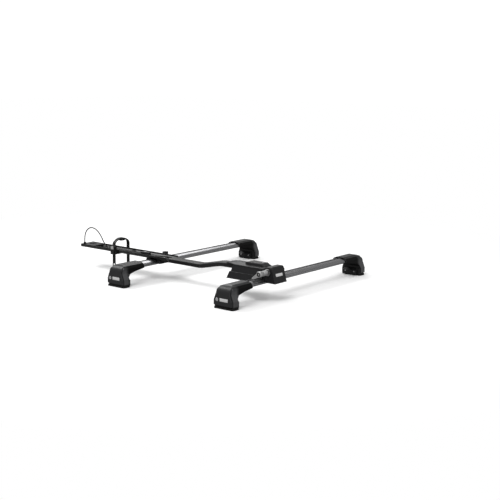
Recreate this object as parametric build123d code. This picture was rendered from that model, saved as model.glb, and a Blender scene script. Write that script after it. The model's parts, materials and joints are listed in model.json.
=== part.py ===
from build123d import *
import math
import os

# Roof mounted carrier for one bicycle, held at the fork, on its two load bars with four feet.
# Millimetres. X points towards the fork head, Y across, Z up. The feet rest on Z = 0, and the origin
# is under the middle of the carrier's length and of the bars.

# Clearances shared by all pieces
seat_gap = 0.3
running_fit = 0.06
cut_over = 5.0

# Whole carrier
carrier_length = 1335.0
head_overhang = 97.0
rear_overhang = 528.0
carrier_y = -245.0
half_length = carrier_length / 2
bar_spacing = carrier_length - head_overhang - rear_overhang
front_bar_x = half_length - head_overhang
rear_bar_x = front_bar_x - bar_spacing

# Load bars
bar_chord = 76.0
bar_height = 30.0
bar_wall = 2.6
bar_mid_z = 90.0
front_half_span = 556.0
rear_half_span = 545.0
bar_end_inset = 58.0
slot_mouth = 10.5
slot_lip = 3.0
slot_width = 21.0
slot_depth = 8.0
strip_thickness = 2.0
bar_top_z = bar_mid_z + bar_height / 2
slot_top_z = bar_top_z - slot_lip
slot_floor_z = slot_top_z - slot_depth

# Feet: depth runs inwards from the foot's outer face, along the bar
foot_width = 118.0
neck_width = 92.0
foot_depth = 62.0
leg_depth = 41.0
cover_reach = 160.0
cover_wall = 3.5
cover_crown_z = 110.5
cover_tip_z = 110.2
cover_radius = 46.0
cover_hem_z = 15.0
cover_band = 10.0
band_drop = 4.0
waist_z = 40.0
hip_z = 72.0
shoulder_z = 92.0
brow_z = 104.0
crown_half = 20.0
neck_start = 103.0
tip_skirt_share = 0.3
arch_chamfer = 14.0
cradle_top_z = 90.0
pad_height = 8.0
pad_round = 12.0
arch_z = 64.0
neck_under_z = 74.0
foot_skin_gap = 0.6
lock_radius = 8.0
lock_length = 14.0
lock_z = 43.0
lock_x = -36.0
lock_proud = 1.0
key_slot_width = 1.6
key_slot_length = 8.0
key_slot_depth = 2.0
clamp_length = 78.0
clamp_top_z = 37.0
clamp_nose_z = 26.0
clamp_depth = 12.0
clamp_low_z = 3.0
clamp_round = 4.0
foot_bolt_radius = 4.0
foot_bolt_head_radius = 7.0
foot_bolt_head = 6.0
foot_bolt_z = 22.0
foot_bolt_spacing = 54.0


def block(x0, x1, y0, y1, z0, z1):
    """Box between two corners."""
    size = (x1 - x0, y1 - y0, z1 - z0)
    middle = ((x0 + x1) / 2, (y0 + y1) / 2, (z0 + z1) / 2)
    return Pos(*middle) * Box(*size)


def rod(radius, start, direction, length):
    """Cylinder from a point along a direction."""
    plane = Plane(origin=start, z_dir=direction)
    return plane * Cylinder(radius, length, align=(Align.CENTER, Align.CENTER, Align.MIN))


def prism_y(face_xz, y0, y1):
    """Section drawn in X and Z, run from y0 to y1."""
    plane = Plane(origin=(0, y1, 0), x_dir=(1, 0, 0), z_dir=(0, -1, 0))
    return extrude(plane * face_xz, y1 - y0)


def prism_x(face_yz, x0, x1):
    """Section drawn in Y and Z, run from x0 to x1."""
    plane = Plane(origin=(x0, 0, 0), x_dir=(0, 1, 0), z_dir=(1, 0, 0))
    return extrude(plane * face_yz, x1 - x0)


def prism_z(face_xy, z0, z1):
    """Plan drawn in X and Y, run from z0 to z1."""
    return extrude(Pos(0, 0, z0) * face_xy, z1 - z0)


def polygon(*points):
    return make_face(Polyline(*points, close=True))


def rounded(shape, radius, axis):
    """The shape with its edges along an axis rounded."""
    return fillet(shape.edges().filter_by(axis), radius)


def save(node, *solids):
    """One STEP file for a node, with one or several separate solids."""
    solids = [one for shape in solids for one in shape.solids()]
    shape = solids[0] if len(solids) == 1 else Compound(children=solids)
    shape.label = node
    export_step(shape, f"parts/{node}.step")


# Load bars and their rubber strips

def bar_section(grow=0.0):
    return Ellipse(bar_chord / 2 + grow, bar_height / 2 + grow)


def bar_face():
    rib = slot_width / 2 + bar_wall
    slot_top = bar_height / 2 - slot_lip
    slot_floor = slot_top - slot_depth
    inner = bar_section(-bar_wall)
    side_rooms = inner - Rectangle(2 * rib, bar_chord)
    room_floor = -bar_height / 2 + 2 * bar_wall
    room_height = slot_floor - bar_wall - room_floor
    middle_room = Pos(0, room_floor + room_height / 2) * Rectangle(slot_width, room_height)
    cavity = Pos(0, slot_floor + slot_depth / 2) * Rectangle(slot_width, slot_depth)
    mouth_height = slot_lip + cut_over
    mouth = Pos(0, slot_top + mouth_height / 2) * Rectangle(slot_mouth, mouth_height)
    return bar_section() - side_rooms - middle_room - cavity - mouth


def make_bar(side, bar_x, half_span):
    half = half_span - bar_end_inset
    save(f"{side}_bar", prism_y(Pos(bar_x, bar_mid_z) * bar_face(), -half, half))
    strip_half = slot_width / 2 - seat_gap
    save(f"{side}_bar_strip", block(bar_x - strip_half, bar_x + strip_half, -half, half,
                                    slot_floor_z, slot_floor_z + strip_thickness))


# Feet, drawn for the side of negative Y with the outer face at Y = 0 and the bar's middle at X = 0

def cover_curve(inset):
    """Upper and outer line of the cover: outer face, quarter round, tongue over the bar."""
    radius = cover_radius - inset
    arc_start = (inset, cover_crown_z - cover_radius)
    arc_end = (cover_radius, cover_crown_z - inset)
    tip = (cover_reach + inset, cover_tip_z - inset)
    return arc_start, arc_end, radius, tip


def under_curve(curve, *corners):
    """Face below the upper line, closed by straight corners and a last one under the line's start."""
    arc_start, arc_end, radius, tip = curve
    last = (arc_start[0], corners[-1][1])
    return make_face([Line(last, arc_start), RadiusArc(arc_start, arc_end, radius),
                      Polyline(arc_end, tip, *corners, last)])


def front_outline(band, inset):
    """Front view: straight base, sides leaning in, shoulders, crown. A band narrower it has no shoulders."""
    wide = foot_width / 2 - band - inset
    slim = neck_width / 2 - band - inset
    brow = neck_width / 2 - cover_band - inset
    side = [(wide, -cut_over), (wide, waist_z), (slim, hip_z), (slim, shoulder_z - inset),
            (brow, brow_z - inset), (crown_half, cover_crown_z - inset)]
    return polygon(*side, *[(-x, z) for x, z in reversed(side)])


def cover_panel(drop, band):
    tip_under = (cover_reach, bar_mid_z - bar_height * tip_skirt_share)
    neck = (neck_start, neck_under_z)
    arch_top = (leg_depth + arch_chamfer, arch_z)
    arch_foot = (leg_depth, arch_z - arch_chamfer)
    face = under_curve(cover_curve(drop), tip_under, neck, arch_top, arch_foot, (leg_depth, cover_hem_z))
    return prism_x(face, -foot_width, foot_width) & prism_y(front_outline(band, 0), 0, cover_reach)


def cover_room(drop, band):
    reach = cover_reach + cut_over
    room = under_curve(cover_curve(drop), (reach, -cut_over), (leg_depth, -cut_over))
    return prism_x(room, -foot_width, foot_width) & prism_y(front_outline(band, cover_wall), 0, reach)


def foot_cover():
    """Shell with a raised middle panel between two side bands."""
    outer = cover_panel(0, cover_band) + cover_panel(band_drop, 0)
    room = cover_room(cover_wall, cover_band) + cover_room(band_drop + cover_wall, 0)
    lock_hole = rod(lock_radius + running_fit, (lock_x, -cut_over, lock_z), (0, 1, 0), lock_length + cut_over)
    return outer - room - lock_hole


def foot_body():
    """Leg, block behind it and cradle under the bar, all inside the cover's front view."""
    skin = cover_wall + foot_skin_gap
    half = foot_width / 2
    leg_start = skin + band_drop
    crown_end = bar_end_inset - seat_gap
    filling = prism_x(under_curve(cover_curve(leg_start), (cover_reach, 0)), -half, half)
    leg = filling & block(-half, half, leg_start, leg_depth, pad_height, arch_z - seat_gap)
    shelf = block(-half, half, leg_start, foot_depth - clamp_depth, pad_height, clamp_top_z)
    crown = filling & block(-half, half, leg_start, crown_end, arch_z - arch_chamfer, bar_top_z)
    cradle_start = leg_depth - cut_over
    cradle_end = cover_reach - clamp_depth
    cradle = polygon((cradle_start, arch_z - arch_chamfer - cut_over), (leg_depth, arch_z - arch_chamfer),
                     (leg_depth + arch_chamfer, arch_z), (neck_start, neck_under_z),
                     (cradle_end, bar_mid_z - bar_height * tip_skirt_share), (cradle_end, cradle_top_z),
                     (cradle_start, cradle_top_z))
    crown -= under_arch()
    body = leg + shelf + crown + prism_x(cradle, -half, half)
    body &= prism_y(front_outline(0, skin), 0, cover_reach)
    body -= prism_y(Pos(0, bar_mid_z) * bar_section(seat_gap), crown_end, cover_reach + cut_over)
    body -= rod(lock_radius + foot_skin_gap, (lock_x, 0, lock_z), (0, 1, 0), lock_length + seat_gap)
    for bolt_x in foot_bolt_places():
        body -= rod(foot_bolt_radius + running_fit, (bolt_x, 0, foot_bolt_z), (0, 1, 0), foot_depth)
        body -= rod(foot_bolt_head_radius + seat_gap, (bolt_x, 0, foot_bolt_z), (0, 1, 0),
                    leg_start + foot_bolt_head)
    return body


def under_arch():
    """Air under the neck, behind the leg."""
    far = leg_depth + cover_reach
    air = polygon((leg_depth, 0), (leg_depth, arch_z - arch_chamfer), (leg_depth + arch_chamfer, arch_z),
                  (neck_start, neck_under_z), (far, neck_under_z), (far, 0))
    return prism_x(air, -foot_width, foot_width)


def foot_bolt_places():
    return [-foot_bolt_spacing / 2, foot_bolt_spacing / 2]


def foot_lock():
    lock = rod(lock_radius, (lock_x, -lock_proud, lock_z), (0, 1, 0), lock_length)
    slot = Pos(lock_x, -lock_proud, lock_z) * Box(key_slot_width, 2 * key_slot_depth, key_slot_length)
    return lock - slot


def foot_pad():
    pad = block(-foot_width / 2, foot_width / 2, 0, foot_depth - clamp_depth - seat_gap, 0, pad_height)
    return rounded(pad, pad_round, Axis.Z)


def rail_clamp():
    inner = foot_depth - clamp_depth
    side = polygon((inner, clamp_low_z), (foot_depth, clamp_low_z), (foot_depth, clamp_nose_z),
                   (inner, clamp_top_z))
    jaw = prism_x(side, -clamp_length / 2, clamp_length / 2)
    jaw = fillet(jaw.edges().filter_by(Axis.Z).group_by(Axis.Y)[-1], clamp_round)
    for bolt_x in foot_bolt_places():
        jaw -= rod(foot_bolt_radius + running_fit, (bolt_x, 0, foot_bolt_z), (0, 1, 0), 2 * foot_depth)
    return jaw


def foot_bolts():
    start = cover_wall + foot_skin_gap + band_drop
    bolts = []
    for bolt_x in foot_bolt_places():
        head = rod(foot_bolt_head_radius, (bolt_x, start, foot_bolt_z), (0, 1, 0), foot_bolt_head)
        shank = rod(foot_bolt_radius, (bolt_x, start, foot_bolt_z), (0, 1, 0), foot_depth - start)
        bolts.append(head + shank)
    return bolts


def make_feet():
    all_bolts = []
    all_clamps = []
    ends = (("front", front_bar_x, front_half_span), ("rear", rear_bar_x, rear_half_span))
    pieces = (("body", foot_body), ("cover", foot_cover), ("lock", foot_lock), ("pad", foot_pad))
    for end, bar_x, half_span in ends:
        for side, turn in (("near", 0), ("far", 180)):
            place = Pos(bar_x, 0, 0) * Rot(0, 0, turn) * Pos(0, -half_span, 0)
            for piece, make in pieces:
                save(f"{end}_{side}_foot_{piece}", place * make())
            all_clamps.append(place * rail_clamp())
            all_bolts += [place * bolt for bolt in foot_bolts()]
    save("rail_clamps", *all_clamps)
    save("foot_clamp_bolts", *all_bolts)


# Base housing over the front bar. Its places are counted from the front bar's middle.

base_rear = 186.0
base_front = 25.0
skirt_bottom_z = 84.0
skirt_top_z = 117.0
casing_top_z = 149.0
skirt_half = 65.0
ledge_half = 57.0
casing_half = 54.0
casing_top_half = 45.0
rear_slant = 23.0
ledge_inset = 3.0
base_wall = 3.5
base_floor = 6.0
base_pad_thickness = 2.0
floor_z = bar_top_z + base_pad_thickness + seat_gap
pad_under_gap = 0.15
pad_width_share = 0.72
pad_side_rise = 4.0
notch_play = 0.1
notch_gap = base_pad_thickness + 2 * pad_under_gap + notch_play

# Bolts of the base housing
t_bolt_radius = 4.0
t_bolt_spread = 34.0
t_plate_width = 17.0
t_plate_length = 26.0
t_plate_height = 4.0
nut_across = 13.0
nut_height = 6.5
nut_rise = 8.0

# Top cover
plate_crown_z = 160.0
plate_edge_z = 153.0
plate_rear = 218.0
plate_neck_half = 30.0
plate_wide_at = 150.0
plate_half = 47.0

# Hinged lock cover over the nuts
lid_rear = 88.0
lid_front = 18.0
lid_half = 27.0
lid_wall = 2.5
lid_top_z = 171.0
lid_low_z = 155.0
lid_nose_z = 160.0
lid_round = 4.0
lid_pin_radius = 2.5
lid_pin_z = 164.0
lid_lug = 10.0
lid_lock_radius = 7.0
lid_lock_length = 13.0

# Head block
head_front = head_overhang
head_top_front = 74.0
head_top_rear = 42.0
head_bottom_z = 88.0
head_top_z = 165.0
head_half = 46.0
head_round = 7.0
skewer_x = 50.0
skewer_z = 139.0
fork_width = 100.0
dropout_gap = 6.0
seat_radius = 17.0
seat_hub_radius = 11.0
badge_length = 52.0
badge_height = 15.0
badge_depth = 1.2
badge_z = 126.0


def from_front(distance):
    """X of a place counted forwards from the front bar's middle."""
    return front_bar_x + distance


def tapered(x0, x1, half0, z0, x2, x3, half1, z1):
    """Loft between a lower and an upper rectangle."""
    low = Pos((x0 + x1) / 2, carrier_y, z0) * Rectangle(x1 - x0, 2 * half0)
    high = Pos((x2 + x3) / 2, carrier_y, z1) * Rectangle(x3 - x2, 2 * half1)
    return loft([low, high])


def base_outer(inset):
    """Skirt with a casing that stands back from it, as one solid, drawn smaller by an inset."""
    rear = from_front(-base_rear) + inset
    front = from_front(base_front) - inset
    slope = rear_slant / (casing_top_z - skirt_bottom_z)
    ledge_rear = rear + slope * (skirt_top_z - skirt_bottom_z)
    skirt = tapered(rear, front, skirt_half - inset, skirt_bottom_z - cut_over * (inset > 0),
                    ledge_rear, front, ledge_half - inset, skirt_top_z - inset)
    casing = tapered(ledge_rear + ledge_inset, front, casing_half - inset, skirt_top_z - inset - cut_over,
                     rear + rear_slant + ledge_inset, front, casing_top_half - inset, casing_top_z)
    return skirt, casing


def bar_notch(bar_x, gap):
    """Room for a load bar that passes under a housing, open downwards."""
    section = bar_section(gap) + Pos(0, -bar_height) * Rectangle(bar_chord + 2 * gap, 2 * bar_height)
    return prism_y(Pos(bar_x, bar_mid_z) * section, carrier_y - 2 * skirt_half, carrier_y + 2 * skirt_half)


def t_bolt_places():
    return [carrier_y - t_bolt_spread / 2, carrier_y + t_bolt_spread / 2]


def base_housing():
    skirt, casing = base_outer(0)
    skirt_room, casing_room = base_outer(base_wall)
    floor = block(from_front(-base_rear + rear_slant), from_front(base_front), carrier_y - casing_half,
                  carrier_y + casing_half, floor_z, floor_z + base_floor)
    rooms = skirt_room + casing_room
    roof_half = casing_top_half - base_wall
    roof_open = block(from_front(-base_rear), from_front(base_front), carrier_y - roof_half,
                      carrier_y + roof_half, casing_top_z - cut_over, casing_top_z + cut_over)
    shell = (skirt + casing) - rooms - (roof_open & casing)
    shell += floor & (skirt + casing)
    shell -= bar_notch(front_bar_x, notch_gap)
    shell -= tube_solid(seat_gap)
    shell -= tube_channel()
    for y in t_bolt_places():
        shell -= rod(t_bolt_radius + running_fit, (front_bar_x, y, bar_mid_z), (0, 0, 1), casing_top_z)
    return shell


# Frame tube: runs under the top cover, down an S-bend and back to the tray

tube_width = 54.0
tube_height = 24.0
tube_wall = 2.5
tube_round = 9.0
tube_front = 20.0
tube_high_z = 137.0
tube_low_z = 109.0
tube_end_to_bar = 107.0
bend_top_share = 0.1143
bend_foot_share = 0.452
bend_radius_share = 1.3077
tube_rear = bar_spacing - tube_end_to_bar
tube_free = tube_rear - plate_rear
bend_top = plate_rear + tube_free * bend_top_share
bend_foot = plate_rear + tube_free * bend_foot_share
bend_radius = (bend_foot - bend_top) * bend_radius_share

# Tongue that carries the tray's front end
tongue_plug = 40.0
tongue_length = 56.0
tongue_height = 10.5
tongue_round = 4.0
tongue_fit = 0.15
rivet_radius = 3.0
rivet_head_radius = 5.5
rivet_head = 2.0
rivet_spacing = 24.0

# Wheel tray
tray_half = 45.5
tray_floor_half = 38.0
tray_wall = 2.5
tray_lip_z = 125.0
tray_lip = 4.0
tray_under_z = 108.0
tray_round = 4.0
cap_length = 92.0
cap_floor = 3.0
cap_recess_length = 48.0
cap_recess_width = 20.0
cap_recess_depth = 4.0
cap_recess_rear = 22.0
cap_top_z = 123.5


def tube_path(front, rear):
    """Centre line of the tube in X and Z, with round bends."""
    points = [(from_front(-front), carrier_y, tube_high_z), (from_front(-bend_top), carrier_y, tube_high_z),
              (from_front(-bend_foot), carrier_y, tube_low_z), (from_front(-rear), carrier_y, tube_low_z)]
    return FilletPolyline(*points, radius=bend_radius)


def tube_sweep(front, rear, inset):
    path = tube_path(front, rear)
    section = RectangleRounded(tube_width - 2 * inset, tube_height - 2 * inset, tube_round - inset)
    plane = Plane(origin=path @ 0, x_dir=(0, 1, 0), z_dir=path % 0)
    return sweep(plane * section, path=path)


def tube_solid(grow):
    return tube_sweep(tube_front - grow, tube_rear + grow, -grow)


def tube_channel():
    """Way down into the housing for the tube, open upwards."""
    half = tube_width / 2 + seat_gap
    return block(from_front(-base_rear - cut_over), from_front(-base_rear + rear_slant + cut_over),
                 carrier_y - half, carrier_y + half, tube_high_z, casing_top_z + cut_over)


def frame_tube():
    bore = tube_sweep(tube_front - cut_over, tube_rear + cut_over, tube_wall)
    tube = tube_sweep(tube_front, tube_rear, 0) - bore
    for y in t_bolt_places():
        tube -= rod(nut_across, (front_bar_x, y, bar_mid_z), (0, 0, 1), casing_top_z)
    return tube


def rivet_places():
    x = from_front(-tube_rear - tongue_length / 2)
    return [(x, carrier_y - rivet_spacing / 2), (x, carrier_y + rivet_spacing / 2)]


def tray_tongue():
    """Plug in the tube's end with a flat tongue under the tray's floor."""
    shoulder = from_front(-tube_rear - seat_gap)
    inset = tube_wall + tongue_fit
    bore = RectangleRounded(tube_width - 2 * inset, tube_height - 2 * inset, tube_round - inset)
    plug = prism_x(Pos(carrier_y, tube_low_z) * bore, shoulder, shoulder + tongue_plug)
    half = tube_width / 2 - tongue_round
    top = tray_under_z
    tongue = block(shoulder - tongue_length, shoulder, carrier_y - half, carrier_y + half,
                   top - tongue_height, top)
    tongue = fillet(tongue.edges().filter_by(Axis.Z).sort_by(Axis.X)[:2], tongue_round)
    both = plug + tongue
    for x, y in rivet_places():
        both -= rod(rivet_radius + running_fit, (x, y, 0), (0, 0, 1), tray_lip_z)
    return both


def tray_rivets():
    low = tray_under_z - tongue_height
    high = tray_under_z + tray_wall
    rivets = []
    for x, y in rivet_places():
        shank = rod(rivet_radius, (x, y, low), (0, 0, 1), high - low)
        top = rod(rivet_head_radius, (x, y, high), (0, 0, 1), rivet_head)
        bottom = rod(rivet_head_radius, (x, y, low - rivet_head), (0, 0, 1), rivet_head)
        rivets.append(shank + top + bottom)
    return rivets


def tray_face(wall):
    """Section of the channel in Y and Z: flat floor, sides leaning out, lips turned over."""
    floor = tray_under_z
    lip_in = tray_half - tray_lip
    points = [(-tray_floor_half, floor), (tray_floor_half, floor), (tray_half, floor + tray_round * 2),
              (tray_half, tray_lip_z), (lip_in, tray_lip_z), (lip_in, tray_lip_z - wall),
              (tray_half - wall, tray_lip_z - wall), (tray_half - wall, floor + tray_round * 2 + wall / 2),
              (tray_floor_half - wall / 2, floor + wall)]
    mirrored = [(-y, z) for y, z in reversed(points[2:])]
    return polygon(*points, *mirrored)


def wheel_tray():
    face = Pos(carrier_y, 0) * tray_face(tray_wall)
    tray = prism_x(face, -half_length + cap_floor, from_front(-tube_rear) - seat_gap)
    for x, y in rivet_places() + bracket_rivet_places():
        tray -= rod(rivet_radius + running_fit, (x, y, 0), (0, 0, 1), tray_lip_z)
    return tray


def tray_end_cap():
    """Cap over the tray's rear end, with an oval recess and the cable's gland hole."""
    rear = -half_length
    inner_half = tray_half - tray_wall - seat_gap
    plate = block(rear, rear + cap_floor, carrier_y - tray_half, carrier_y + tray_half,
                  tray_under_z, tray_lip_z)
    body = block(rear + cap_floor, rear + cap_length, carrier_y - tray_floor_half + tray_wall,
                 carrier_y + tray_floor_half - tray_wall, tray_under_z + tray_wall + seat_gap, cap_top_z)
    recess_x = rear + cap_recess_rear + cap_recess_length / 2
    recess = extrude(Pos(recess_x, carrier_y, cap_top_z - cap_recess_depth)
                     * SlotOverall(cap_recess_length, cap_recess_width), cap_recess_depth + cut_over)
    plate = rounded_outer(plate)
    return plate + body - recess - gland_hole()


def rounded_outer(plate):
    edges = [edge for edge in plate.edges().filter_by(Axis.X) if edge.center().Z < tray_lip_z - tray_wall]
    return fillet(edges, tray_round)


def top_cover():
    """Broad plate over the tube's front end, narrow at its rear, with an opening under the lid."""
    rear = from_front(-plate_rear)
    wide = from_front(-plate_wide_at)
    front = from_front(base_front)
    plan = polygon((rear, carrier_y - plate_neck_half), (wide, carrier_y - plate_half),
                   (front, carrier_y - plate_half), (front, carrier_y + plate_half),
                   (wide, carrier_y + plate_half), (rear, carrier_y + plate_neck_half))
    low = casing_top_z + seat_gap
    shape = prism_z(plan, low, plate_crown_z)
    crown_rise = plate_crown_z - plate_edge_z
    crown_radius = (plate_half ** 2 + crown_rise ** 2) / (2 * crown_rise)
    crown = rod(crown_radius, (rear - cut_over, carrier_y, plate_crown_z - crown_radius), (1, 0, 0),
                plate_rear + base_front + 2 * cut_over)
    slope = polygon((rear, low - cut_over), (rear, low + base_wall), (wide, plate_crown_z),
                    (front, plate_crown_z), (front, low - cut_over))
    shape = shape & crown & prism_y(slope, carrier_y - plate_half, carrier_y + plate_half)
    high = plate_crown_z + cut_over
    well_half = lid_half - lid_wall
    well = block(from_front(-lid_rear + lid_lug), from_front(lid_front - lid_wall - seat_gap),
                 carrier_y - well_half, carrier_y + well_half, low - cut_over, high)
    seat_half = lid_half + seat_gap
    seat_z = lid_low_z - seat_gap
    seat = block(from_front(-lid_rear - seat_gap), from_front(base_front), carrier_y - seat_half,
                 carrier_y + seat_half, seat_z, high)
    ear_x = from_front(-lid_rear - lid_lug / 2)
    ear_half = lid_lug / 2 - seat_gap
    ears = rod(ear_half, (ear_x, carrier_y - lid_half, lid_pin_z), (0, 1, 0), 2 * lid_half)
    ears += block(ear_x - ear_half, ear_x + ear_half, carrier_y - lid_half, carrier_y + lid_half,
                  seat_z, lid_pin_z)
    knuckle_half = lid_half - lid_lug
    knuckle_room = block(from_front(-lid_rear - lid_lug - cut_over), from_front(-lid_rear),
                         carrier_y - knuckle_half, carrier_y + knuckle_half, lid_low_z, lid_pin_z + lid_lug)
    shape = shape - well - seat + ears - knuckle_room
    shape -= lid_pin_rod(running_fit)
    for y in t_bolt_places():
        shape -= rod(nut_across, (front_bar_x, y, bar_mid_z), (0, 0, 1), lid_top_z)
    return shape


def lid_pin_rod(grow):
    x = from_front(-lid_rear - lid_lug / 2)
    half = lid_half - seat_gap
    return rod(lid_pin_radius + grow, (x, carrier_y - half, lid_pin_z), (0, 1, 0), 2 * half)


def lock_lid():
    """Wedge-shaped lid: high at its hinge, sloping down to the nose, hollow below."""
    def wedge(inset, low):
        rear = from_front(-lid_rear) + inset
        front = from_front(lid_front) - inset
        break_x = front - lid_lug * 2
        return polygon((rear, low), (rear, lid_top_z - inset), (break_x, lid_top_z - inset),
                       (front, lid_nose_z - inset), (front, low))
    outer = prism_y(wedge(0, lid_low_z), carrier_y - lid_half, carrier_y + lid_half)
    long_tops = [edge for edge in outer.edges() if edge.center().Z > lid_nose_z
                 and abs(edge.center().Y - carrier_y) > lid_half / 2]
    outer = fillet(long_tops, lid_round)
    room = prism_y(wedge(lid_wall, lid_low_z - cut_over), carrier_y - lid_half + lid_wall,
                   carrier_y + lid_half - lid_wall)
    lug_half = lid_half - lid_lug - seat_gap
    x = from_front(-lid_rear - lid_lug / 2)
    knuckle = rod(lid_lug / 2 - seat_gap, (x, carrier_y - lug_half, lid_pin_z), (0, 1, 0), 2 * lug_half)
    knuckle += block(x, from_front(-lid_rear + lid_wall), carrier_y - lug_half, carrier_y + lug_half,
                     lid_pin_z - lid_lug / 4, lid_pin_z + lid_lug / 4)
    boss = rod(lid_lock_radius + lid_wall, lid_lock_start(), (0, 0, 1), lid_lock_length + lid_wall)
    boss &= block(from_front(-lid_rear) + lid_wall, from_front(lid_front), carrier_y - lid_half,
                  carrier_y + lid_half, lid_low_z, lid_top_z - lid_wall / 2)
    lid = (outer - room) + knuckle + boss
    lid -= rod(lid_lock_radius + running_fit, lid_lock_start(), (0, 0, 1), lid_top_z)
    return lid - lid_pin_rod(running_fit)


def lid_lock_start():
    return (from_front(lid_front - lid_lug * 3), carrier_y, lid_low_z)


def lid_lock():
    x, y, z = lid_lock_start()
    top = lid_top_z + lock_proud
    lock = rod(lid_lock_radius, (x, y, top - lid_lock_length), (0, 0, 1), lid_lock_length)
    return lock - Pos(x, y, top) * Box(key_slot_length, key_slot_width, 2 * key_slot_depth)


def t_bolt(bar_x, y, top_z):
    """Bolt with a plate that sits in the bar's slot."""
    plate_top = slot_top_z - seat_gap
    plate = block(bar_x - t_plate_width / 2, bar_x + t_plate_width / 2, y - t_plate_length / 2,
                  y + t_plate_length / 2, plate_top - t_plate_height, plate_top)
    plate_low = plate_top - t_plate_height
    return plate + rod(t_bolt_radius, (bar_x, y, plate_low), (0, 0, 1), top_z - plate_low)


def front_t_bolts():
    top = floor_z + base_floor + nut_height + nut_rise
    return [t_bolt(front_bar_x, y, top) for y in t_bolt_places()]


def front_nuts():
    low = floor_z + base_floor
    nuts = []
    for y in t_bolt_places():
        hexagon = RegularPolygon(nut_across / 2, 6, major_radius=False)
        nut = Pos(front_bar_x, y, low) * extrude(hexagon, nut_height)
        nuts.append(nut - rod(t_bolt_radius + running_fit, (front_bar_x, y, 0), (0, 0, 1), lid_top_z))
    return nuts


def saddle_pad(bar_x, half):
    """Rubber sheet bent over the top of a bar, open along the slot."""
    ring = bar_section(pad_under_gap + base_pad_thickness) - bar_section(pad_under_gap)
    upper = Pos(0, bar_height / 2 + pad_side_rise) * Rectangle(bar_chord * pad_width_share, bar_height)
    sheet = (ring & upper) - Rectangle(slot_mouth, bar_chord)
    return prism_y(Pos(bar_x, bar_mid_z) * sheet, carrier_y - half, carrier_y + half)


# Skewer and its lever. Places across the carrier are counted from its middle, near side negative.

rod_radius = 4.5
barrel_radius = 13.0
barrel_length = 28.0
barrel_round = 2.0
hub_radius = 14.0
hub_outer = 12.0
cam_offset = 3.0
cam_gap = 0.8
arm_length = 51.0
arm_angle = 31.5
arm_root_half = 11.0
arm_root_share = 0.4
arm_tip_half = 5.0
arm_thickness = 9.0
pin_radius = 2.5
rod_eye_radius = 6.0
lever_lock_radius = 7.5
lever_lock_length = 5.0
nut_radius = 12.0
nut_length = 18.0
nut_grooves = 16
nut_groove_radius = 1.2
rod_tail = 4.0
barrel_inner_y = fork_width / 2 + dropout_gap
barrel_outer_y = barrel_inner_y + barrel_length
hub_centre_y = barrel_outer_y + cam_gap + hub_radius
pin_y = hub_centre_y + cam_offset
hub_face_y = pin_y + hub_outer


def across(distance):
    """Y of a place counted from the carrier's middle."""
    return carrier_y + distance


def skewer_point(distance):
    return (from_front(skewer_x), across(distance), skewer_z)


def arm_direction():
    angle = math.radians(arm_angle)
    return Vector(-math.cos(angle), 0, -math.sin(angle))


def pin_direction():
    angle = math.radians(arm_angle)
    return Vector(-math.sin(angle), 0, math.cos(angle))


def head_block():
    x = from_front
    profile = polygon((x(base_front), head_bottom_z), (x(head_front), head_bottom_z),
                      (x(head_top_front), head_top_z), (x(head_top_rear), head_top_z),
                      (x(base_front), plate_crown_z - head_round))
    head = prism_y(profile, across(-head_half), across(head_half))
    tops = [edge for edge in head.edges() if edge.center().Z > skewer_z]
    head = fillet(tops, head_round)
    room = block(x(base_front) + base_wall * 2, x(head_top_front), across(-head_half + base_wall * 2),
                 across(head_half - base_wall * 2), head_bottom_z - cut_over, skewer_z - seat_radius)
    head = head - room - bar_notch(front_bar_x, notch_gap)
    head -= rod(rod_radius + running_fit, skewer_point(-fork_width), (0, 1, 0), 2 * fork_width)
    lean = math.atan2(head_front - head_top_front, head_top_z - head_bottom_z)
    face_x = head_front - (badge_z - head_bottom_z) * math.tan(lean)
    badge_place = Pos(x(face_x), carrier_y, badge_z) * Rot(0, -math.degrees(lean), 0)
    head -= badge_place * Box(2 * badge_depth, badge_length, badge_height)
    return head


def dropout_seat(side):
    start = head_half if side > 0 else -fork_width / 2
    length = fork_width / 2 - head_half
    seat = rod(seat_radius, skewer_point(start), (0, 1, 0), length)
    rim = rod(seat_hub_radius, skewer_point(side * fork_width / 2 - length / 4), (0, 1, 0), length / 2)
    seat -= rim
    return seat - rod(rod_radius + running_fit, skewer_point(-fork_width), (0, 1, 0), 2 * fork_width)


def skewer_rod():
    length = pin_y + barrel_inner_y + nut_length + rod_tail
    straight = rod(rod_radius, skewer_point(-pin_y), (0, 1, 0), length)
    eye_half = rod_radius - seat_gap
    eye = rod(rod_eye_radius, Vector(*skewer_point(-pin_y)) - pin_direction() * eye_half, pin_direction(),
              2 * eye_half)
    return straight + eye - lever_pin_rod(running_fit)


def lever_pin_rod(grow):
    half = hub_radius - 2 * barrel_round
    start = Vector(*skewer_point(-pin_y)) - pin_direction() * half
    return rod(pin_radius + grow, start, pin_direction(), 2 * half)


def lever_barrel():
    barrel = rod(barrel_radius, skewer_point(-barrel_outer_y), (0, 1, 0), barrel_length)
    barrel = chamfer(barrel.edges().filter_by(GeomType.CIRCLE), barrel_round / 2)
    return barrel - rod(rod_radius + running_fit, skewer_point(-pin_y), (0, 1, 0), 2 * pin_y)


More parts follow.
